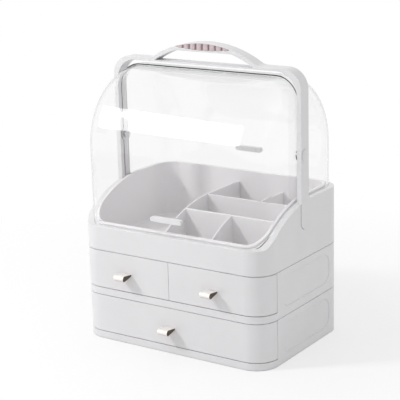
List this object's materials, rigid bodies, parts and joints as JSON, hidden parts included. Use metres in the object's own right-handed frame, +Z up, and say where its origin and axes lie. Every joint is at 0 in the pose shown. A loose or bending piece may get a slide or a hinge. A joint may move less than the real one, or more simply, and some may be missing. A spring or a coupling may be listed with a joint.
{
  "type": "makeup organizer",
  "caption": "White stacked makeup organizer with pull-out drawers, a divided open tray under two clear swinging covers, and a fixed arched carrying handle.",
  "frame": {"origin": "centre of the base's outline, on the surface the organizer stands on", "axes": "+Z up, -Y towards the drawer pulls, +X to the right seen from the front"},
  "size_m": [0.3056, 0.2334, 0.409],
  "materials": {
    "case_white": "satin moulded",
    "inner_white": "satin moulded",
    "clear_plastic": "clear moulded",
    "grip_pink": "soft matte",
    "pull_gold": "satin plated",
    "steel": "plain",
    "rubber_grey": "matte"
  },
  "bodies": {
    "case": {"lower_case": "case_white", "middle_case": "case_white", "tray_shell": "case_white", "tray_liner": "inner_white", "handle_frame": "case_white", "grip_insert": "grip_pink", "pivot_pins": "steel", "pivot_caps": "case_white", "handle_screws": "steel", "tier_screws": "steel", "rubber_pads": "rubber_grey"},
    "divider": {"divider_insert": "inner_white"},
    "front_cover_half": {"front_cover": "clear_plastic", "front_cover_tab": "case_white"},
    "rear_cover_half": {"rear_cover": "clear_plastic", "rear_cover_tab": "case_white"},
    "lower_drawer": {"lower_drawer_box": "inner_white", "lower_drawer_front": "case_white", "lower_pull": "pull_gold", "lower_pull_washers": "steel"},
    "left_drawer": {"left_drawer_box": "inner_white", "left_drawer_front": "case_white", "left_pull": "pull_gold", "left_pull_washers": "steel"},
    "right_drawer": {"right_drawer_box": "inner_white", "right_drawer_front": "case_white", "right_pull": "pull_gold", "right_pull_washers": "steel"}
  },
  "joints": [
    {"name": "front_cover_hinge", "type": "hinge", "parent": "case", "child": "front_cover_half", "pos_m": [0, 0, 0.27], "axis": [-1, 0, 0], "range_deg": [0, 46]},
    {"name": "rear_cover_hinge", "type": "hinge", "parent": "case", "child": "rear_cover_half", "pos_m": [0, 0, 0.27], "axis": [1, 0, 0], "range_deg": [0, 46]},
    {"name": "lower_drawer_slide", "type": "slide", "parent": "case", "child": "lower_drawer", "axis": [0, -1, 0], "range_m": [0, 0.15]},
    {"name": "left_drawer_slide", "type": "slide", "parent": "case", "child": "left_drawer", "axis": [0, -1, 0], "range_m": [0, 0.15]},
    {"name": "right_drawer_slide", "type": "slide", "parent": "case", "child": "right_drawer", "axis": [0, -1, 0], "range_m": [0, 0.15]},
    {"name": "divider_lift", "type": "slide", "parent": "case", "child": "divider", "axis": [0, 0, 1], "range_m": [0, 0.05]}
  ]
}
